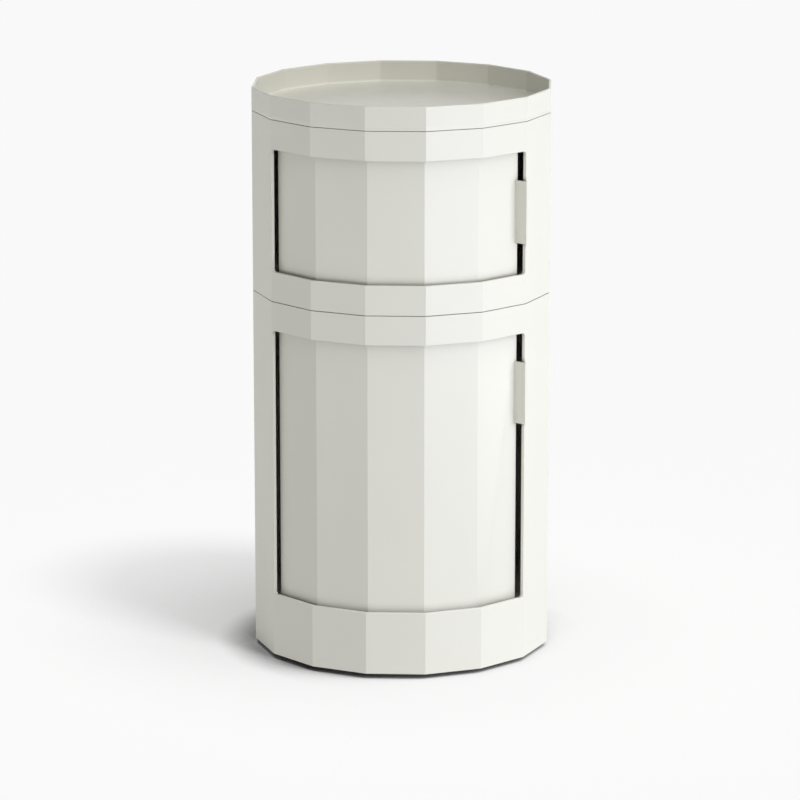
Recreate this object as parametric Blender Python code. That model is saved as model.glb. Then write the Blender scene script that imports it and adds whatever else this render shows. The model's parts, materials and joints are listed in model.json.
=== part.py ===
"""Faceted side cabinet: two stacked moulded modules with sliding doors, a loose tray top and low feet.

Metres, +Z up. The origin is on the ground at the cabinet's axis, and the doors face -Y.
A heading of 0 points to the front and grows towards +X, so facet number n has its middle at n times FACET.
"""

from math import cos, pi, radians, sin

import bmesh
import bpy
from mathutils import Matrix, Vector

# Overall form
SIDES = 16
ACROSS_FLATS = 0.310
WALL = 0.0035
FOOT_HEIGHT = 0.005
LOWER_HEIGHT = 0.380
UPPER_HEIGHT = 0.190
TRAY_HEIGHT = 0.025

# Windows in the shells
WINDOW_FACETS = 5
TOP_BAND = 0.031
UPPER_SILL = 0.031
LOWER_SILL = 0.066
WINDOW_CORNER = 0.003
JAMB_INSET = 0.0012

# Doors and their pull tabs
DOOR_WALL = 0.0025
DOOR_RUNNING = 0.0021
DOOR_LEFT_INSET = 0.0003
DOOR_RIGHT_INSET = 0.0029
TAB_HEIGHT = 0.065
TAB_THICKNESS = 0.0040
TAB_DROP = 0.0305
TAB_REACH = 0.0051

# Shoes that carry and guide a door on the two end facets
SHOE_FACET = 2
SHOE_LENGTH = 0.024
SHOE_WALL = 0.0012
SHOE_FLOOR = 0.003
SHOE_GRIP = 0.008
SHOE_PLAY = 0.0005

# Inside a module
PLINTH = 0.035
LEDGE_THICKNESS = 0.003
SILL_STEP = 0.005
FLOOR_THICKNESS = 0.003
FLANGE_THICKNESS = 0.003
SKIRT_WALL = 0.003
RIB_COUNT = 8
RIB_WIDTH = 0.0025
RIB_DEPTH = 0.008
HEADER_THICKNESS = 0.003
HEADER_WIDTH = 0.0235
REBATE_WIDTH = 0.0015
LIP_OVERLAP = 0.006
SPIGOT_DEPTH = 0.008
SPIGOT_WALL = 0.003

# Tray
TRAY_WALL = 0.003
TRAY_FLOOR = 0.003
TRAY_FILLET = 0.002
TRAY_ROUND_SHARE = 0.4

# Bosses, screws and feet
BOSS_RADIUS = 0.004
BOSS_HEIGHT = 0.008
BOSS_ROOT = 0.001
POST_RADIUS = 0.0045
JOIN_BOSS_HEIGHT = 0.010
SCREW_RADIUS = 0.0015
SCREW_HEAD_RADIUS = 0.0032
SCREW_HEAD_DEPTH = 0.0020
SCREW_HEAD_EDGE = 0.0005
SCREW_POINT = 0.0015
SCREW_TIP_RADIUS = 0.0005
SOCKET_RADIUS = 0.0013
SOCKET_DEPTH = 0.0012
FLOOR_SCREW_BITE = 0.009
FOOT_RADIUS = 0.011
FOOT_CHAMFER = 0.001
FOOT_WEB = 0.0022
FOOT_POST_RADIUS = 0.008
FOOT_SCREW_BITE = 0.009
HEADER_SCREW_FACETS = (3, 8, -3)
FLOOR_SCREW_FACETS = (3, 8, -3)
JOIN_SCREW_FACETS = (0, 5, -5)
FOOT_FACETS = (2, 6, -6, -2)

# Clearances
FIT = 0.0003
SEAM = 0.0004
GUIDE_CLEARANCE = 0.0015
HOLE_SPARE = 0.001
CUT_OVER = 0.002

# Smoothness of round forms
ROUND_SIDES = 48
SMALL_SIDES = 12
CORNER_STEPS = 4
EDGE_STEPS = 3
SHOE_STEPS = 6
SMOOTH_ANGLE = radians(30)

# Colours
SHELL_COLOUR = (0.84, 0.83, 0.755)
INNER_COLOUR = (0.80, 0.79, 0.715)
GLIDE_COLOUR = (0.85, 0.85, 0.83)
RUBBER_COLOUR = (0.03, 0.03, 0.03)
STEEL_COLOUR = (0.62, 0.62, 0.60)

# Radii that follow from the sizes above
FACET = 2 * pi / SIDES
OUTER_FLAT = ACROSS_FLATS / 2
INNER_FLAT = OUTER_FLAT - WALL
CORNER_RADIUS = OUTER_FLAT / cos(FACET / 2)
WINDOW_CORNERS = WINDOW_FACETS * FACET / 2
WINDOW_HALF = WINDOW_CORNERS - JAMB_INSET / OUTER_FLAT
DOOR_OUTER_FLAT = (INNER_FLAT - DOOR_RUNNING) * cos(FACET / 2)
DOOR_INNER_FLAT = DOOR_OUTER_FLAT - DOOR_WALL
DOOR_LEFT = DOOR_LEFT_INSET / DOOR_OUTER_FLAT - WINDOW_CORNERS
DOOR_RIGHT = WINDOW_CORNERS - DOOR_RIGHT_INSET / DOOR_OUTER_FLAT
SHOE_OUTER = INNER_FLAT - SHOE_PLAY
SHOE_INNER = DOOR_INNER_FLAT - FIT - SHOE_WALL
GUIDE_OUTER = SHOE_INNER - FIT
GUIDE_INNER = GUIDE_OUTER - SKIRT_WALL
HEADER_HOLE = INNER_FLAT - HEADER_WIDTH
SPIGOT_OUTER = HEADER_HOLE - FIT
SPIGOT_INNER = SPIGOT_OUTER - SPIGOT_WALL
BOSS_CIRCLE = INNER_FLAT - BOSS_RADIUS + BOSS_ROOT
POST_CIRCLE = (SPIGOT_INNER + GUIDE_INNER) / 2
FOOT_CIRCLE = SPIGOT_INNER + FOOT_POST_RADIUS
PILOT_RADIUS = SCREW_RADIUS + FIT


class Module:
    """One storey of the cabinet. Its heights are measured from its own base."""

    def __init__(self, name, base, height, sill, plinth, spigot_depth):
        self.name = name
        self.empty = axis_empty(name + "_module", None, base)
        self.door_axis = axis_empty(name + "_door_axis", self.empty, 0.0)
        self.shell_top = height - SEAM
        self.window_bottom = sill
        self.window_top = height - TOP_BAND
        self.ledge_bottom = plinth
        self.ledge_top = plinth + LEDGE_THICKNESS
        self.spigot_depth = spigot_depth
        self.flange_bottom = self.ledge_top + FIT
        self.flange_top = self.flange_bottom + FLANGE_THICKNESS
        self.floor_top = sill - SILL_STEP
        self.floor_bottom = self.floor_top - FLOOR_THICKNESS
        self.header_bottom = self.shell_top - HEADER_THICKNESS
        self.rebate_floor = self.header_bottom - FIT
        self.boss_bottom = self.rebate_floor - BOSS_HEIGHT
        self.glide_bottom = self.flange_top + FIT
        self.door_bottom = self.glide_bottom + SHOE_FLOOR + FIT
        self.guide_top = self.boss_bottom - GUIDE_CLEARANCE
        self.door_top = self.guide_top - SHOE_FLOOR - FIT


# Scene helpers


def clear_scene():
    for old in list(bpy.data.objects):
        bpy.data.objects.remove(old)


def axis_empty(name, parent, height):
    empty = bpy.data.objects.new(name, None)
    empty.location.z = height
    empty.parent = parent
    bpy.context.scene.collection.objects.link(empty)
    return empty


def finish(name, colour, roughness, metallic=0.0):
    material = bpy.data.materials.new(name)
    material.use_nodes = True
    shader = material.node_tree.nodes["Principled BSDF"]
    shader.inputs["Base Color"].default_value = (*colour, 1.0)
    shader.inputs["Roughness"].default_value = roughness
    shader.inputs["Metallic"].default_value = metallic
    return material


def closed_mesh(name, shape):
    bmesh.ops.recalc_face_normals(shape, faces=shape.faces)
    mesh = bpy.data.meshes.new(name)
    shape.to_mesh(mesh)
    shape.free()
    return mesh


def place(name, mesh, parent, material=None):
    piece = bpy.data.objects.new(name, mesh)
    piece.parent = parent
    if material and not mesh.materials:
        mesh.materials.append(material)
    bpy.context.scene.collection.objects.link(piece)
    return piece


def shade_round(piece):
    piece.data.shade_smooth()
    piece.data.set_sharp_from_angle(angle=SMOOTH_ANGLE)


def combine(piece, operation, tool):
    """Joins or cuts a piece with a tool shape, which then stays in the scene only as a wire helper."""
    tool.hide_render = True
    tool.display_type = "WIRE"
    modifier = piece.modifiers.new(tool.name, "BOOLEAN")
    modifier.operation = operation
    modifier.solver = "EXACT"
    modifier.object = tool


# Shape helpers


def heading(angle):
    return Vector((sin(angle), -cos(angle), 0.0))


def on_flat(flat, angle):
    """The point at this heading on a regular outline whose flats lie this far from the axis."""
    from_middle = angle - FACET * round(angle / FACET)
    return heading(angle) * (flat / cos(from_middle))


def flat_run(flat, start, end):
    """The points of a flat-sided outline from one heading to another, through the corners between them."""
    corners = [(n + 0.5) * FACET for n in range(-SIDES, SIDES)]
    headings = [start] + [corner for corner in corners if start < corner < end] + [end]
    return [on_flat(flat, angle) for angle in headings]


def arc_run(radius, start, end, steps):
    return [heading(start + (end - start) * n / steps) * radius for n in range(steps + 1)]


def add_prism(shape, outline, bottom, top):
    base = shape.faces.new([shape.verts.new((point.x, point.y, bottom)) for point in outline])
    raised = bmesh.ops.extrude_face_region(shape, geom=[base])["geom"]
    lifted = [part for part in raised if isinstance(part, bmesh.types.BMVert)]
    bmesh.ops.translate(shape, vec=(0.0, 0.0, top - bottom), verts=lifted)


def prism(name, outline, bottom, top):
    shape = bmesh.new()
    add_prism(shape, outline, bottom, top)
    return closed_mesh(name, shape)


def turned(name, profile, sides, flat_sided=False):
    """A profile of (distance, height) points swept round the axis. Points on the axis close the ends."""
    shape = bmesh.new()
    spread = 1 / cos(pi / sides) if flat_sided else 1.0
    rings = []
    for distance, height in profile:
        if distance == 0.0:
            rings.append([shape.verts.new((0.0, 0.0, height))] * sides)
            continue
        spots = [heading((n + 0.5) * 2 * pi / sides) * distance * spread for n in range(sides)]
        rings.append([shape.verts.new((spot.x, spot.y, height)) for spot in spots])
    open_ended = profile[0][0] == 0.0 and profile[-1][0] == 0.0
    followers = rings[1:] if open_ended else rings[1:] + rings[:1]
    for ring, follower in zip(rings, followers):
        for n in range(sides):
            after = (n + 1) % sides
            corners = [ring[n], ring[after], follower[after], follower[n]]
            shape.faces.new(list(dict.fromkeys(corners)))
    return closed_mesh(name, shape)


def rounding(distance, height, radius, start, end):
    """Profile points on an arc about a centre. Angles grow from outwards to upwards."""
    turns = [start + (end - start) * n / EDGE_STEPS for n in range(EDGE_STEPS + 1)]
    return [(distance + radius * cos(turn), height + radius * sin(turn)) for turn in turns]


def rods(name, centres, radius, bottom, top):
    """Upright round rods of one size at several centres."""
    shape = bmesh.new()
    for centre in centres:
        outline = [centre + heading(2 * pi * n / SMALL_SIDES) * radius for n in range(SMALL_SIDES)]
        add_prism(shape, outline, bottom, top)
    return closed_mesh(name, shape)


def facet_circle(radius, facets):
    return [heading(facet * FACET) * radius for facet in facets]


# Shells


def shell_profile(module):
    rebate_flat = INNER_FLAT + REBATE_WIDTH
    profile = [
        (OUTER_FLAT, 0.0),
        (OUTER_FLAT, module.shell_top),
        (rebate_flat, module.shell_top),
        (rebate_flat, module.rebate_floor),
        (INNER_FLAT, module.rebate_floor),
        (INNER_FLAT, module.ledge_top),
        (SPIGOT_INNER, module.ledge_top),
    ]
    if module.spigot_depth:
        profile += [
            (SPIGOT_INNER, -module.spigot_depth),
            (SPIGOT_OUTER, -module.spigot_depth),
            (SPIGOT_OUTER, 0.0),
        ]
    else:
        profile += [
            (SPIGOT_INNER, module.ledge_bottom),
            (INNER_FLAT, module.ledge_bottom),
            (INNER_FLAT, 0.0),
        ]
    return profile


def window_cutter(module):
    """A wedge through the front facets with radial jambs and rounded corners."""
    inner = INNER_FLAT - BOSS_RADIUS
    outer = CORNER_RADIUS / cos(FACET / 2) + CUT_OVER
    stations = []
    for n in range(CORNER_STEPS + 1):
        turn = pi / 2 * n / CORNER_STEPS
        along = WINDOW_CORNER * (1 - cos(turn)) / OUTER_FLAT
        inset = WINDOW_CORNER * (1 - sin(turn))
        stations.append((along - WINDOW_HALF, inset))
    corners = [(n + 0.5) * FACET for n in range(-SIDES, SIDES)]
    last = stations[-1][0]
    middle = [(corner, 0.0) for corner in corners if abs(corner) < abs(last)]
    stations += middle + [(-angle, inset) for angle, inset in reversed(stations)]
    shape = bmesh.new()
    frames = []
    for angle, inset in stations:
        ends = (module.window_bottom + inset, module.window_top - inset)
        spots = [(inner, ends[0]), (outer, ends[0]), (outer, ends[1]), (inner, ends[1])]
        towards = heading(angle)
        frames.append([shape.verts.new((towards.x * r, towards.y * r, z)) for r, z in spots])
    shape.faces.new(frames[0])
    shape.faces.new(frames[-1])
    for frame, following in zip(frames, frames[1:]):
        for n in range(4):
            after = (n + 1) % 4
            shape.faces.new([frame[n], frame[after], following[after], following[n]])
    return closed_mesh(module.name + "_window", shape)


def make_shell(module, material):
    """The parts both shells share. It gives back the helper that joins and cuts further shapes."""
    name = module.name + "_shell"
    parent = module.empty
    shell = place(name, turned(name, shell_profile(module), SIDES, flat_sided=True), parent, material)

    def helper(label, mesh, operation):
        combine(shell, operation, place(f"{name}_{label}", mesh, parent))

    bosses = facet_circle(BOSS_CIRCLE, HEADER_SCREW_FACETS)
    posts = facet_circle(POST_CIRCLE, FLOOR_SCREW_FACETS)
    post_root = module.ledge_top - LEDGE_THICKNESS / 2
    post_top = module.floor_bottom - FIT
    helper("bosses", rods("bosses", bosses, BOSS_RADIUS, module.boss_bottom, module.rebate_floor), "UNION")
    helper("posts", rods("posts", posts, POST_RADIUS, post_root, post_top), "UNION")
    helper("window", window_cutter(module), "DIFFERENCE")
    boss_ends = (module.boss_bottom - CUT_OVER, module.rebate_floor + CUT_OVER)
    helper("boss_holes", rods("boss_holes", bosses, PILOT_RADIUS, *boss_ends), "DIFFERENCE")
    post_ends = (post_top - FLOOR_SCREW_BITE - HOLE_SPARE, post_top + CUT_OVER)
    helper("post_holes", rods("post_holes", posts, PILOT_RADIUS, *post_ends), "DIFFERENCE")
    return helper


def make_upper_shell(module, material):
    """The upper shell also has bosses for the screws that come up through the header below it."""
    helper = make_shell(module, material)
    joins = facet_circle(POST_CIRCLE, JOIN_SCREW_FACETS)
    boss_top = module.ledge_top + JOIN_BOSS_HEIGHT
    root = module.ledge_top - LEDGE_THICKNESS / 2
    helper("join_bosses", rods("join_bosses", joins, POST_RADIUS, root, boss_top), "UNION")
    hole_top = boss_top - HOLE_SPARE
    helper("join_holes", rods("join_holes", joins, PILOT_RADIUS, -CUT_OVER, hole_top), "DIFFERENCE")


def make_lower_shell(module, material):
    """The lower shell also has posts in its plinth that stand on the feet."""
    helper = make_shell(module, material)
    feet = facet_circle(FOOT_CIRCLE, FOOT_FACETS)
    root = module.ledge_bottom + LEDGE_THICKNESS / 2
    helper("foot_posts", rods("foot_posts", feet, FOOT_POST_RADIUS, FIT, root), "UNION")
    hole_top = FIT + FOOT_SCREW_BITE + HOLE_SPARE
    helper("foot_holes", rods("foot_holes", feet, PILOT_RADIUS, FIT - CUT_OVER, hole_top), "DIFFERENCE")


# Floors and headers


def rib_star(count, width, reach):
    """The outline of straight ribs that meet in the middle."""
    outline = []
    for n in range(count):
        angle = 2 * pi * n / count
        along = heading(angle)
        across = heading(angle + pi / 2)
        notch = heading(angle + pi / count) * (width / 2 / sin(pi / count))
        outline += [along * reach - across * width / 2, along * reach + across * width / 2, notch]
    return outline


def countersink(length, grow=0.0, over=0.0):
    """The outline of a countersunk screw from its head's top, at height 0, down to its point."""
    head = SCREW_HEAD_RADIUS + grow
    shank = SCREW_RADIUS + grow
    return [
        (0.0, over),
        (head, over),
        (head, -SCREW_HEAD_EDGE),
        (shank, -SCREW_HEAD_DEPTH),
        (shank, -length),
        (0.0, -length),
    ]


def sink_holes(piece, centres, top, through):
    """Countersunk holes through a plate whose top face is at this height."""
    profile = countersink(through + CUT_OVER, FIT, CUT_OVER)
    mesh = turned("countersink", profile, SMALL_SIDES)
    shape = bmesh.new()
    for centre in centres:
        shape.from_mesh(mesh)
        bmesh.ops.translate(shape, vec=centre + Vector((0, 0, top)), verts=shape.verts[-len(mesh.vertices):])
    combine(piece, "DIFFERENCE", place(piece.name + "_sinks", closed_mesh("sinks", shape), piece.parent))


def make_floor(module, material):
    """A pan whose round skirt and flange form the door's lower channel inside the shell."""
    name = module.name + "_floor"
    parent = module.empty
    flange = flat_run(INNER_FLAT - FIT, -pi - FACET / 2, pi - FACET / 2)[1:]
    floor = place(name, prism(name, flange, module.flange_bottom, module.flange_top), parent, material)
    drum = [
        (0.0, module.floor_top),
        (GUIDE_OUTER, module.floor_top),
        (GUIDE_OUTER, module.flange_bottom),
        (0.0, module.flange_bottom),
    ]
    hollow = [
        (0.0, module.floor_bottom),
        (GUIDE_INNER, module.floor_bottom),
        (GUIDE_INNER, module.flange_bottom - CUT_OVER),
        (0.0, module.flange_bottom - CUT_OVER),
    ]
    combine(floor, "UNION", place(name + "_drum", turned("drum", drum, ROUND_SIDES), parent))
    combine(floor, "DIFFERENCE", place(name + "_hollow", turned("hollow", hollow, ROUND_SIDES), parent))
    sink_holes(floor, facet_circle(POST_CIRCLE, FLOOR_SCREW_FACETS), module.floor_top, FLOOR_THICKNESS)
    reach = SPIGOT_INNER - POST_RADIUS
    star = rib_star(RIB_COUNT, RIB_WIDTH, reach)
    ribs = prism("ribs", star, module.floor_bottom - RIB_DEPTH, module.floor_bottom + FLOOR_THICKNESS / 2)
    combine(floor, "UNION", place(name + "_ribs", ribs, parent))


def make_header(module, material, joined):
    """A ring in the shell's top rebate, with a round lip that guides the door's upper edge."""
    name = module.name + "_header"
    parent = module.empty
    plate = [
        (INNER_FLAT + REBATE_WIDTH - FIT, module.shell_top),
        (INNER_FLAT + REBATE_WIDTH - FIT, module.header_bottom),
        (HEADER_HOLE, module.header_bottom),
        (HEADER_HOLE, module.shell_top),
    ]
    header = place(name, turned(name, plate, SIDES, flat_sided=True), parent, material)
    lip_root = module.header_bottom + HEADER_THICKNESS / 2
    lip_end = module.door_top - LIP_OVERLAP
    lip = [(GUIDE_OUTER, lip_root), (GUIDE_OUTER, lip_end), (GUIDE_INNER, lip_end), (GUIDE_INNER, lip_root)]
    combine(header, "UNION", place(name + "_lip", turned("lip", lip, ROUND_SIDES), parent))
    sink_holes(header, facet_circle(BOSS_CIRCLE, HEADER_SCREW_FACETS), module.shell_top, HEADER_THICKNESS)
    if joined:
        joins = facet_circle(POST_CIRCLE, JOIN_SCREW_FACETS)
        ends = (module.header_bottom - CUT_OVER, module.shell_top + CUT_OVER)
        holes = rods("join_holes", joins, PILOT_RADIUS, *ends)
        combine(header, "DIFFERENCE", place(name + "_join_holes", holes, parent))


# Doors


def door_outline(grow=0.0, extend=0.0):
    """The bent panel seen from above, made thicker by grow and longer by extend where a slot is cut for it."""
    ends = (DOOR_LEFT - extend, DOOR_RIGHT + extend)
    outer = flat_run(DOOR_OUTER_FLAT + grow, *ends)
    inner = flat_run(DOOR_INNER_FLAT - grow, *ends)
    return outer + inner[::-1]


def make_door(module, material):
    """A bent panel behind the window, with an upright tab at its right end to pull it by."""
    name = module.name + "_door"
    mesh = prism(name, door_outline(), module.door_bottom, module.door_top)
    door = place(name, mesh, module.door_axis, material)
    end = heading(DOOR_RIGHT)
    back = heading(DOOR_RIGHT - pi / 2) * TAB_THICKNESS
    root = end * (DOOR_OUTER_FLAT - DOOR_WALL / 2)
    edge = end * (CORNER_RADIUS + TAB_REACH)
    tab_top = module.window_top - TAB_DROP
    tab = prism("tab", [root, edge, edge + back, root + back], tab_top - TAB_HEIGHT, tab_top)
    combine(door, "UNION", place(name + "_tab", tab, module.door_axis))


def make_shoe(module, label, facet, bottom, top, slot, material):
    """A saddle that grips the door's edge and slides between the round guide and the shell."""
    name = f"{module.name}_door_{label}"
    half = SHOE_LENGTH / 2 / SHOE_INNER
    middle = facet * FACET
    outer = arc_run(SHOE_OUTER, middle - half, middle + half, SHOE_STEPS)
    inner = arc_run(SHOE_INNER, middle - half, middle + half, SHOE_STEPS)
    shoe = place(name, prism(name, outer + inner[::-1], bottom, top), module.door_axis, material)
    cutter = prism(name + "_slot", door_outline(FIT, FACET / 4), *slot)
    combine(shoe, "DIFFERENCE", place(name + "_slot", cutter, module.door_axis))


def make_shoes(module, material):
    for side, facet in (("left", -SHOE_FACET), ("right", SHOE_FACET)):
        bottom = module.glide_bottom
        top = module.door_bottom + SHOE_GRIP
        slot = (module.door_bottom - FIT, top + CUT_OVER)
        make_shoe(module, "glide_" + side, facet, bottom, top, slot, material)
        bottom = module.door_top - SHOE_GRIP
        slot = (bottom - CUT_OVER, module.door_top + FIT)
        make_shoe(module, "guide_" + side, facet, bottom, module.guide_top, slot, material)


# Tray, feet and screws


def make_tray(base, material):
    inner = OUTER_FLAT - TRAY_WALL
    edge = TRAY_ROUND_SHARE * TRAY_WALL
    edge_height = TRAY_HEIGHT - edge
    profile = [
        (0.0, TRAY_FLOOR),
        *rounding(inner - TRAY_FILLET, TRAY_FLOOR + TRAY_FILLET, TRAY_FILLET, -pi / 2, 0.0),
        *rounding(inner + edge, edge_height, edge, pi, pi / 2),
        *rounding(OUTER_FLAT - edge, edge_height, edge, pi / 2, 0.0),
        (OUTER_FLAT, 0.0),
        (SPIGOT_OUTER, 0.0),
        (SPIGOT_OUTER, -SPIGOT_DEPTH),
        (SPIGOT_INNER, -SPIGOT_DEPTH),
        (SPIGOT_INNER, 0.0),
        (0.0, 0.0),
    ]
    tray = place("tray_top", turned("tray_top", profile, SIDES, flat_sided=True), None, material)
    tray.location.z = base


def screw_mesh(name, length, sunk):
    """A screw along -Z with the seat of its head at height 0, or its top where it is countersunk."""
    head_top = 0.0 if sunk else SCREW_HEAD_DEPTH
    profile = [
        (0.0, head_top - SOCKET_DEPTH),
        (SOCKET_RADIUS, head_top - SOCKET_DEPTH),
        (SOCKET_RADIUS, head_top),
        (SCREW_HEAD_RADIUS, head_top),
    ]
    if sunk:
        profile += [(SCREW_HEAD_RADIUS, -SCREW_HEAD_EDGE), (SCREW_RADIUS, -SCREW_HEAD_DEPTH)]
    else:
        profile += [(SCREW_HEAD_RADIUS, 0.0), (SCREW_RADIUS, 0.0)]
    profile += [(SCREW_RADIUS, SCREW_POINT - length), (SCREW_TIP_RADIUS, -length), (0.0, -length)]
    return turned(name, profile, SMALL_SIDES)


def place_screws(label, mesh, centres, height, parent, material, upwards=False):
    for number, centre in enumerate(centres, 1):
        screw = place(f"{label}_{number}", mesh, parent, material)
        turn = Matrix.Rotation(pi, 4, "X") if upwards else Matrix.Identity(4)
        screw.matrix_local = Matrix.Translation(centre + Vector((0.0, 0.0, height))) @ turn
        shade_round(screw)


def make_module_screws(module, header_screw, floor_screw, material):
    bosses = facet_circle(BOSS_CIRCLE, HEADER_SCREW_FACETS)
    posts = facet_circle(POST_CIRCLE, FLOOR_SCREW_FACETS)
    label = module.name + "_header_screw"
    place_screws(label, header_screw, bosses, module.shell_top, module.empty, material)
    label = module.name + "_floor_screw"
    place_screws(label, floor_screw, posts, module.floor_top, module.empty, material)


def make_joining_screws(lower, material):
    """They come up from the lower compartment, through its header, into the upper shell's bosses."""
    through = HEADER_THICKNESS + FIT + SEAM
    length = through + LEDGE_THICKNESS + JOIN_BOSS_HEIGHT - 2 * HOLE_SPARE
    mesh = screw_mesh("joining_screw", length, sunk=False)
    centres = facet_circle(POST_CIRCLE, JOIN_SCREW_FACETS)
    seat = lower.header_bottom - FIT
    place_screws("joining_screw", mesh, centres, seat, lower.empty, material, upwards=True)


def make_feet(lower, rubber, steel):
    seat = FOOT_HEIGHT - FOOT_WEB
    recess = SCREW_HEAD_RADIUS + 2 * FIT
    profile = [
        (PILOT_RADIUS, FOOT_HEIGHT),
        (FOOT_RADIUS, FOOT_HEIGHT),
        (FOOT_RADIUS, FOOT_CHAMFER),
        (FOOT_RADIUS - FOOT_CHAMFER, 0.0),
        (recess, 0.0),
        (recess, seat),
        (PILOT_RADIUS, seat),
    ]
    mesh = turned("foot", profile, 2 * SMALL_SIDES)
    centres = facet_circle(FOOT_CIRCLE, FOOT_FACETS)
    for number, centre in enumerate(centres, 1):
        foot = place(f"foot_{number}", mesh, lower.empty, rubber)
        foot.location = centre - Vector((0.0, 0.0, FOOT_HEIGHT))
        shade_round(foot)
    screw = screw_mesh("foot_screw", FIT + FOOT_WEB + FIT + FOOT_SCREW_BITE, sunk=False)
    height = -FOOT_WEB - FIT
    place_screws("foot_screw", screw, centres, height, lower.empty, steel, upwards=True)


def main():
    clear_scene()
    body = finish("body_plastic", SHELL_COLOUR, 0.20)
    door = finish("door_plastic", SHELL_COLOUR, 0.20)
    inner = finish("inner_plastic", INNER_COLOUR, 0.30)
    tray = finish("tray_plastic", SHELL_COLOUR, 0.20)
    glide = finish("glide_plastic", GLIDE_COLOUR, 0.35)
    rubber = finish("foot_rubber", RUBBER_COLOUR, 0.80)
    steel = finish("screw_steel", STEEL_COLOUR, 0.35, metallic=1.0)

    lower = Module("lower", FOOT_HEIGHT, LOWER_HEIGHT, LOWER_SILL, PLINTH, 0.0)
    upper = Module("upper", FOOT_HEIGHT + LOWER_HEIGHT, UPPER_HEIGHT, UPPER_SILL, 0.0, SPIGOT_DEPTH)
    make_lower_shell(lower, body)
    make_upper_shell(upper, body)
    header_screw = screw_mesh("header_screw", HEADER_THICKNESS + FIT + BOSS_HEIGHT - HOLE_SPARE, sunk=True)
    floor_screw = screw_mesh("floor_screw", FLOOR_THICKNESS + FIT + FLOOR_SCREW_BITE, sunk=True)
    for module in (lower, upper):
        make_floor(module, inner)
        make_header(module, inner, joined=module is lower)
        make_door(module, door)
        make_shoes(module, glide)
        make_module_screws(module, header_screw, floor_screw, steel)
    make_joining_screws(lower, steel)
    make_feet(lower, rubber, steel)
    make_tray(FOOT_HEIGHT + LOWER_HEIGHT + UPPER_HEIGHT, tray)


main()
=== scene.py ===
"""Looks of the faceted side cabinet: camera, studio light, floor, finishes and softened edges."""

import json
from math import cos, pi, radians, sin

import bpy
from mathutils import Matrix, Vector

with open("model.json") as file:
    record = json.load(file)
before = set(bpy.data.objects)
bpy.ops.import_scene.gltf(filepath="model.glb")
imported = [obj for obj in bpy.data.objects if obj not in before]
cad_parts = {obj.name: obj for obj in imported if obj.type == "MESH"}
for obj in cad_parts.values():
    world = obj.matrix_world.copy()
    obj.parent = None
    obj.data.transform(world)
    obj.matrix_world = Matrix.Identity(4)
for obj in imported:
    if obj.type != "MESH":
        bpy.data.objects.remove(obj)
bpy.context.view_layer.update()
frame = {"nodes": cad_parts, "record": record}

# Lengths are in metres and angles in degrees. Headings start at the cabinet's front and grow
# towards the viewer's right.

# Camera, fitted to the cabinet's corners in the photograph
AZIMUTH = 2.57
ELEVATION = 13.37
DISTANCE = 4.321
LENS_MM = 183.5
AIM_HEIGHT = 0.2606
AIM_SIDEWAYS = -0.0024

# Far lamps: a wide one for the cabinet, and one for the floor alone, which draws its shadow
KEY_LIGHT = dict(heading=52, height=50, spread=90, level=0.53)
FLOOR_LIGHT = dict(heading=47, height=62, spread=11, level=0.792)

# Panel lamps for the cabinet, aimed at its axis. One that isn't mirrored lights it but doesn't
# show in its gloss.
PANEL_AIM_HEIGHT = 0.35
COOL_WHITE = (0.95, 0.985, 1.11)
WHITE = (1.0, 1.0, 1.0)
PANELS = {
    "front_right": dict(
        heading=48, distance=1.2, height=0.36, width=1.2, tall=0.5,
        level=0.31, colour=COOL_WHITE, mirrored=True,
    ),
    "front_left": dict(
        heading=-58, distance=1.2, height=0.22, width=0.8, tall=0.4,
        level=0.11, colour=WHITE, mirrored=True,
    ),
    "left": dict(
        heading=-85, distance=2.5, height=0.30, width=1.2, tall=0.5,
        level=0.05, colour=WHITE, mirrored=True,
    ),
    "right": dict(
        heading=62, distance=1.5, height=0.38, width=1.0, tall=0.5,
        level=0.19, colour=COOL_WHITE, mirrored=False,
    ),
    "back_left": dict(
        heading=-150, distance=2.5, height=0.35, width=1.2, tall=0.5,
        level=0.28, colour=WHITE, mirrored=False,
    ),
    "back_right": dict(
        heading=150, distance=2.5, height=0.35, width=1.2, tall=0.5,
        level=0.28, colour=WHITE, mirrored=False,
    ),
}

# Sky: the light it sheds, and the backdrop that is seen in its place
SKY_LEVEL = 0.11
BACKGROUND = 0.947

# Floor: the grey that scatters light onto the cabinet, and the paper that is seen in its place,
# with a glow that lifts it to the backdrop's white
FLOOR_COLOUR = 0.50
PAPER_COLOUR = 0.25
PAPER_GLOW = 0.7455
FLOOR_RADIUS = 40.0
FLOOR_SIDES = 64
FLOOR_DROP = 0.0002

# Painted shadow on the paper's colour and glow, from the room that is open over each spot, with
# painted light where light would reach in under the base. Every entry looks as far as its
# reach, straight up or in a direction of its own, and turns a share of open room into a level.
FLOOR_SAMPLES = 12
FLOOR_ROOM = {
    # painted shadow all round the cabinet, and on the side away from the lamps
    "around": dict(reach=0.25, share=(0.0, 1.0), level=(0.72, 1.0)),
    "beside": dict(reach=0.30, share=(0.3, 0.9), level=(0.60, 1.0), heading=47, height=30),
    # painted shadow in the gap under the base, lifted by painted light where light would come in
    # low from the right
    "overhead": dict(reach=0.35, share=(0.36, 0.56), level=(0.05, 1.0)),
    "lit": dict(reach=0.35, share=(0.51, 0.57), level=(0.05, 1.0), heading=120, height=5),
    # painted shadow close along the base, lifted where the lamps would reach that strip
    "close": dict(reach=0.045, share=(0.5, 1.0), level=(0.12, 1.0)),
    "facing": dict(reach=0.30, share=(0.60, 0.85), level=(0.12, 1.0), heading=47, height=30),
}
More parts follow.
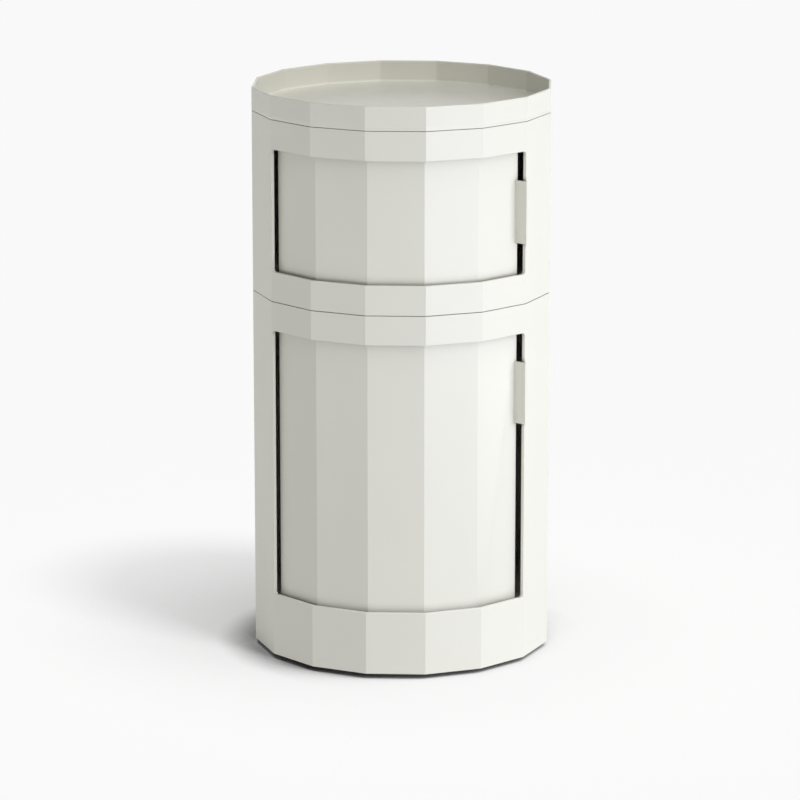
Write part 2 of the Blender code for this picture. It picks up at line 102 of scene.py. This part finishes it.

# Finishes by material slot: clouds in the colour, unevenness in the gloss and a fine grain, all
# from noises, which mostly stay within NOISE_SPAN. Painted shade darkens the colour in corners
# where
# a wall stands close: on the shells beside the doors, and on the doors above the sills.
NOISE_SPAN = (0.3, 0.7)
CORNER_SAMPLES = 16
SHELL_COLOUR = (0.84, 0.83, 0.742)
PLASTIC_ROUGHNESS = 0.35
PLASTIC_CLOUDS = dict(scale=14.0, detail=3.0, share=0.006)
PLASTIC = dict(
    roughness=PLASTIC_ROUGHNESS,
    clouds=PLASTIC_CLOUDS,
    gloss=dict(scale=45.0, detail=4.0, amount=0.03),
)
FINE_GRAIN = dict(scale=700.0, detail=2.0, depth=0.00001)
FINISHES = {
    "body_plastic": dict(
        colour=SHELL_COLOUR,
        grain=FINE_GRAIN,
        # painted shade: the colour darkens beside the doors, where a wall stands close
        corners=dict(reach=0.006, share=(0.45, 1.0), dark=0.30, tilt=0.0),
        **PLASTIC,
    ),
    "door_plastic": dict(
        colour=SHELL_COLOUR,
        grain=FINE_GRAIN,
        # painted shade: the colour darkens above the sills, where a wall stands close
        corners=dict(reach=0.015, share=(0.1, 0.7), dark=0.58, tilt=1.0),
        **PLASTIC,
    ),
    "inner_plastic": dict(
        colour=(0.80, 0.79, 0.715),
        grain=dict(scale=1100.0, detail=2.0, depth=0.00002),
        **PLASTIC,
    ),
    "glide_plastic": dict(colour=(0.85, 0.85, 0.83), grain=FINE_GRAIN, **PLASTIC),
    "foot_rubber": dict(
        colour=(0.03, 0.03, 0.03),
        roughness=0.8,
        clouds=dict(scale=400.0, detail=3.0, share=0.25),
        gloss=dict(scale=250.0, detail=3.0, amount=0.08),
        grain=dict(scale=1800.0, detail=3.0, depth=0.00008),
    ),
    "screw_steel": dict(
        colour=(0.62, 0.62, 0.60),
        roughness=0.32,
        metallic=1.0,
        clouds=dict(scale=900.0, detail=4.0, share=0.06),
        gloss=dict(scale=1500.0, detail=5.0, amount=0.1),
        grain=dict(scale=2500.0, detail=4.0, depth=0.00002),
    ),
}

# The tray: how rough its floor and its rim are, and the heights between which they turn into the
# wall's roughness
TRAY_FLOOR_ROUGHNESS = 0.24
TRAY_RIM_ROUGHNESS = 0.12
TRAY_FLOOR_TO_WALL = (0.5782, 0.5788)
TRAY_WALL_TO_RIM = (0.5983, 0.5988)
TRAY_GLOSS = dict(scale=45.0, detail=4.0, amount=0.02)
TRAY_GRAIN = dict(scale=160.0, detail=2.0, depth=0.000004)

# Softened edges: how wide the rounding is on each piece, on edges sharper than EDGE_ANGLE. The
# packed triangles are first joined and made one face wherever they lie flat.
EDGE_WIDTHS = {
    "upper_shell": 0.0005,
    "lower_shell": 0.0005,
    "upper_door": 0.0005,
    "lower_door": 0.0005,
    "tray_top": 0.0003,
}
EDGE_ANGLE = 28
EDGE_SEGMENTS = 2
WELD_DISTANCE = 0.00001
FLAT_ANGLE = 0.5


def direction(heading, height=0):
    """A unit vector towards a heading, raised from the ground by a height in degrees."""
    turn, rise = radians(heading), radians(height)
    return Vector((sin(turn) * cos(rise), -cos(turn) * cos(rise), sin(rise)))


def add_object(name, data):
    added = bpy.data.objects.new(name, data)
    bpy.context.scene.collection.objects.link(added)
    return added


def set_camera():
    camera = add_object("camera", bpy.data.cameras.new("camera"))
    camera.data.lens = LENS_MM
    right = direction(AZIMUTH + 90)
    back = direction(AZIMUTH, ELEVATION)
    aim = right * AIM_SIDEWAYS + Vector((0.0, 0.0, AIM_HEIGHT))
    camera.location = aim + back * DISTANCE
    camera.rotation_euler = (-back).to_track_quat("-Z", "Y").to_euler()
    bpy.context.scene.camera = camera


def add_sun(name, heading, height, spread, level):
    """A soft far lamp. Its level is the brightness of a white surface that faces it."""
    lamp = bpy.data.lights.new(name, "SUN")
    lamp.energy = level * pi
    lamp.angle = radians(spread)
    sun = add_object(name, lamp)
    sun.rotation_euler = direction(heading, height).to_track_quat("Z", "Y").to_euler()
    return sun


def add_panel(name, heading, distance, height, width, tall, level, colour, mirrored):
    """A panel lamp. Its level is the brightness of a white surface that faces it from the axis."""
    place = direction(heading) * distance + Vector((0.0, 0.0, height))
    back = place - Vector((0.0, 0.0, PANEL_AIM_HEIGHT))
    lamp = bpy.data.lights.new(name, "AREA")
    lamp.shape = "RECTANGLE"
    lamp.size = width
    lamp.size_y = tall
    lamp.color = colour
    lamp.energy = level * (pi * back.length) ** 2
    panel = add_object(name, lamp)
    panel.location = place
    panel.rotation_euler = back.to_track_quat("Z", "Y").to_euler()
    panel.visible_camera = False
    panel.visible_glossy = mirrored
    return panel


def light_apart(lamp, floor, state):
    """Lights only the floor, or everything but the floor."""
    listed = bpy.data.collections.new(lamp.name + "_floor")
    listed.objects.link(floor)
    listed.collection_objects[0].light_linking.link_state = state
    lamp.light_linking.receiver_collection = listed


class Graph:
    """The nodes of a material or of the sky."""

    def __init__(self, owner):
        owner.use_nodes = True
        self.nodes = owner.node_tree.nodes
        self.links = owner.node_tree.links

    def combine(self, operation, first, second):
        joined = self.nodes.new("ShaderNodeMath")
        joined.operation = operation
        self.links.new(first, joined.inputs[0])
        self.links.new(second, joined.inputs[1])
        return joined.outputs[0]

    def remap(self, value, span, level):
        """Carries a value over from a span to a pair of levels, and stops at both ends."""
        ramp = self.nodes.new("ShaderNodeMapRange")
        ramp.inputs["From Min"].default_value, ramp.inputs["From Max"].default_value = span
        ramp.inputs["To Min"].default_value, ramp.inputs["To Max"].default_value = level
        self.links.new(value, ramp.inputs["Value"])
        return ramp.outputs["Result"]

    def scaled(self, share, level):
        return self.remap(share, (0.0, 1.0), level)

    def open_room(self, towards, reach, samples):
        """The share of the room in a direction that nothing covers."""
        room = self.nodes.new("ShaderNodeAmbientOcclusion")
        room.samples = samples
        room.inputs["Distance"].default_value = reach
        self.links.new(towards, room.inputs["Normal"])
        return room.outputs["AO"]

    def seen_rays(self):
        """One for rays from the camera, mirrors and glass, and zero for scattered light."""
        path = self.nodes.new("ShaderNodeLightPath").outputs
        mirrored = self.combine("MAXIMUM", path["Is Glossy Ray"], path["Is Transmission Ray"])
        return self.combine("MAXIMUM", path["Is Camera Ray"], mirrored)


def set_sky():
    world = bpy.data.worlds.new("studio")
    graph = Graph(world)
    background = graph.nodes["Background"]
    background.inputs["Color"].default_value = (*WHITE, 1.0)
    level = graph.scaled(graph.seen_rays(), (SKY_LEVEL, BACKGROUND))
    graph.links.new(level, background.inputs["Strength"])
    bpy.context.scene.world = world


def floor_room(graph, reach, share, level, heading=0, height=90):
    """A level that grows with the open room over a spot of the floor."""
    towards = graph.nodes.new("ShaderNodeCombineXYZ")
    for axis, length in zip("XYZ", direction(heading, height)):
        towards.inputs[axis].default_value = length
    return graph.remap(graph.open_room(towards.outputs[0], reach, FLOOR_SAMPLES), share, level)


def floor_material():
    """A pale floor that shows as white paper where it is seen, keeps the lamp's shadow, and has
    painted shadow and painted light in the paper's colour and glow.
    """
    material = bpy.data.materials.new("floor")
    graph = Graph(material)
    graph.nodes.remove(graph.nodes["Principled BSDF"])
    room = {name: floor_room(graph, **look) for name, look in FLOOR_ROOM.items()}
    # painted shadow under and along the base, and painted light where light would reach in
    gap = graph.combine("MAXIMUM", room["overhead"], room["lit"])
    base = graph.combine("MAXIMUM", room["close"], room["facing"])
    gap = graph.combine("MULTIPLY", gap, base)
    under = graph.scaled(room["overhead"], (1.0, 0.0))
    shade = graph.combine("MULTIPLY", room["around"], room["beside"])
    shade = graph.combine("MAXIMUM", shade, graph.combine("MULTIPLY", room["lit"], under))
    shade = graph.combine("MULTIPLY", shade, gap)

    paint = graph.nodes.new("ShaderNodeBsdfDiffuse")
    paint.inputs["Color"].default_value = (FLOOR_COLOUR, FLOOR_COLOUR, FLOOR_COLOUR, 1.0)
    paper = graph.nodes.new("ShaderNodeBsdfDiffuse")
    graph.links.new(graph.scaled(gap, (0.0, PAPER_COLOUR)), paper.inputs["Color"])
    glow = graph.nodes.new("ShaderNodeEmission")
    graph.links.new(graph.scaled(shade, (0.0, PAPER_GLOW)), glow.inputs["Strength"])
    lit_paper = graph.nodes.new("ShaderNodeAddShader")
    graph.links.new(paper.outputs[0], lit_paper.inputs[0])
    graph.links.new(glow.outputs[0], lit_paper.inputs[1])
    choice = graph.nodes.new("ShaderNodeMixShader")
    graph.links.new(graph.seen_rays(), choice.inputs["Fac"])
    graph.links.new(paint.outputs[0], choice.inputs[1])
    graph.links.new(lit_paper.outputs[0], choice.inputs[2])
    graph.links.new(choice.outputs[0], graph.nodes["Material Output"].inputs["Surface"])
    return material


def add_floor():
    corners = [direction(360 * side / FLOOR_SIDES) * FLOOR_RADIUS for side in range(FLOOR_SIDES)]
    places = [(corner.x, corner.y, -FLOOR_DROP) for corner in corners]
    mesh = bpy.data.meshes.new("floor")
    mesh.from_pydata(places, [], [list(range(FLOOR_SIDES))])
    mesh.materials.append(floor_material())
    floor = add_object("floor", mesh)
    return floor


class Finish(Graph):
    """A material with fine procedural detail laid out in the piece's own coordinates."""

    def __init__(self, name, colour, roughness, metallic=0.0):
        self.material = bpy.data.materials.new(name)
        super().__init__(self.material)
        self.colour = colour
        self.place = self.nodes.new("ShaderNodeTexCoord").outputs["Object"]
        self.sockets = self.nodes["Principled BSDF"].inputs
        self.sockets["Base Color"].default_value = (*colour, 1.0)
        self.sockets["Roughness"].default_value = roughness
        self.sockets["Metallic"].default_value = metallic

    def noise(self, scale, detail):
        pattern = self.nodes.new("ShaderNodeTexNoise")
        pattern.inputs["Scale"].default_value = scale
        pattern.inputs["Detail"].default_value = detail
        self.links.new(self.place, pattern.inputs["Vector"])
        return pattern.outputs["Fac"]

    def uneven(self, middle, scale, detail, amount):
        """A value that a noise moves up and down round its middle."""
        level = (middle - amount, middle + amount)
        return self.remap(self.noise(scale, detail), NOISE_SPAN, level)

    def vary_colour(self, scale, detail, share):
        mix = self.nodes.new("ShaderNodeMix")
        mix.data_type = "RGBA"
        factor, first, second = mix.inputs[0], mix.inputs[6], mix.inputs[7]
        first.default_value = (*[part * (1.0 - share) for part in self.colour], 1.0)
        second.default_value = (*[part * (1.0 + share) for part in self.colour], 1.0)
        self.links.new(self.remap(self.noise(scale, detail), NOISE_SPAN, (0.0, 1.0)), factor)
        self.links.new(mix.outputs[2], self.sockets["Base Color"])

    def by_height(self, span, level):
        """A value that changes between two heights."""
        split = self.nodes.new("ShaderNodeSeparateXYZ")
        self.links.new(self.place, split.inputs[0])
        return self.remap(split.outputs["Z"], span, level)

    def shade_corners(self, reach, share, dark, tilt):
        """Paints shade into the colour: darkens it where close walls cover the room in front,
        tilted down by a slope.
        """
        geometry = self.nodes.new("ShaderNodeNewGeometry")
        tilted = self.nodes.new("ShaderNodeVectorMath")
        tilted.operation = "ADD"
        tilted.inputs[1].default_value = (0.0, 0.0, -tilt)
        self.links.new(geometry.outputs["Normal"], tilted.inputs[0])
        towards = self.nodes.new("ShaderNodeVectorMath")
        towards.operation = "NORMALIZE"
        self.links.new(tilted.outputs[0], towards.inputs[0])
        room = self.open_room(towards.outputs[0], reach, CORNER_SAMPLES)
        darkened = self.nodes.new("ShaderNodeVectorMath")
        darkened.operation = "MULTIPLY"
        self.links.new(self.sockets["Base Color"].links[0].from_socket, darkened.inputs[0])
        self.links.new(self.remap(room, share, (dark, 1.0)), darkened.inputs[1])
        self.links.new(darkened.outputs[0], self.sockets["Base Color"])

    def raise_grain(self, scale, detail, depth):
        bump = self.nodes.new("ShaderNodeBump")
        bump.inputs["Distance"].default_value = depth
        self.links.new(self.noise(scale, detail), bump.inputs["Height"])
        self.links.new(bump.outputs["Normal"], self.sockets["Normal"])


def finished(name, colour, roughness, clouds, gloss, grain, corners=None, metallic=0.0):
    finish = Finish(name, colour, roughness, metallic)
    finish.vary_colour(**clouds)
    finish.links.new(finish.uneven(roughness, **gloss), finish.sockets["Roughness"])
    finish.raise_grain(**grain)
    # painted shade: darkens the colour in corners where a wall stands close
    if corners:
        finish.shade_corners(**corners)
    return finish.material


def polished_tray(name):
    """Plastic with a glossy floor and rim, and between them a wall like the shells."""
    finish = Finish(name, SHELL_COLOUR, PLASTIC_ROUGHNESS)
    finish.vary_colour(**PLASTIC_CLOUDS)
    floor = finish.by_height(TRAY_FLOOR_TO_WALL, (TRAY_FLOOR_ROUGHNESS, PLASTIC_ROUGHNESS))
    rim = finish.by_height(TRAY_WALL_TO_RIM, (PLASTIC_ROUGHNESS, TRAY_RIM_ROUGHNESS))
    smooth = finish.combine("MINIMUM", floor, rim)
    roughness = finish.combine("ADD", smooth, finish.uneven(0.0, **TRAY_GLOSS))
    finish.links.new(roughness, finish.sockets["Roughness"])
    finish.raise_grain(**TRAY_GRAIN)
    return finish.material


def paint_nodes():
    materials = {name: finished(name, **values) for name, values in FINISHES.items()}
    for part in frame["record"]["subparts"]:
        node = frame["nodes"][part["node"]]
        node.data.materials.clear()
        node.data.materials.append(materials[part["material_slot"]])
    frame["nodes"]["tray_top"].data.materials[0] = polished_tray("tray_plastic")


def soften(node, width):
    """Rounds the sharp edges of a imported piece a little, as a mould does."""
    weld = node.modifiers.new("weld", "WELD")
    weld.merge_threshold = WELD_DISTANCE
    flat = node.modifiers.new("flat", "DECIMATE")
    flat.decimate_type = "DISSOLVE"
    flat.angle_limit = radians(FLAT_ANGLE)
    bevel = node.modifiers.new("bevel", "BEVEL")
    bevel.width = width
    bevel.segments = EDGE_SEGMENTS
    bevel.limit_method = "ANGLE"
    bevel.angle_limit = radians(EDGE_ANGLE)
    bevel.use_clamp_overlap = False
    bevel.harden_normals = True


def main():
    set_camera()
    set_sky()
    floor = add_floor()
    light_apart(add_sun("key_light", **KEY_LIGHT), floor, "EXCLUDE")
    light_apart(add_sun("floor_light", **FLOOR_LIGHT), floor, "INCLUDE")
    for name, values in PANELS.items():
        light_apart(add_panel(name, **values), floor, "EXCLUDE")
    paint_nodes()
    for name, width in EDGE_WIDTHS.items():
        soften(frame["nodes"][name], width)
    bpy.context.scene.view_settings.view_transform = "Standard"


main()
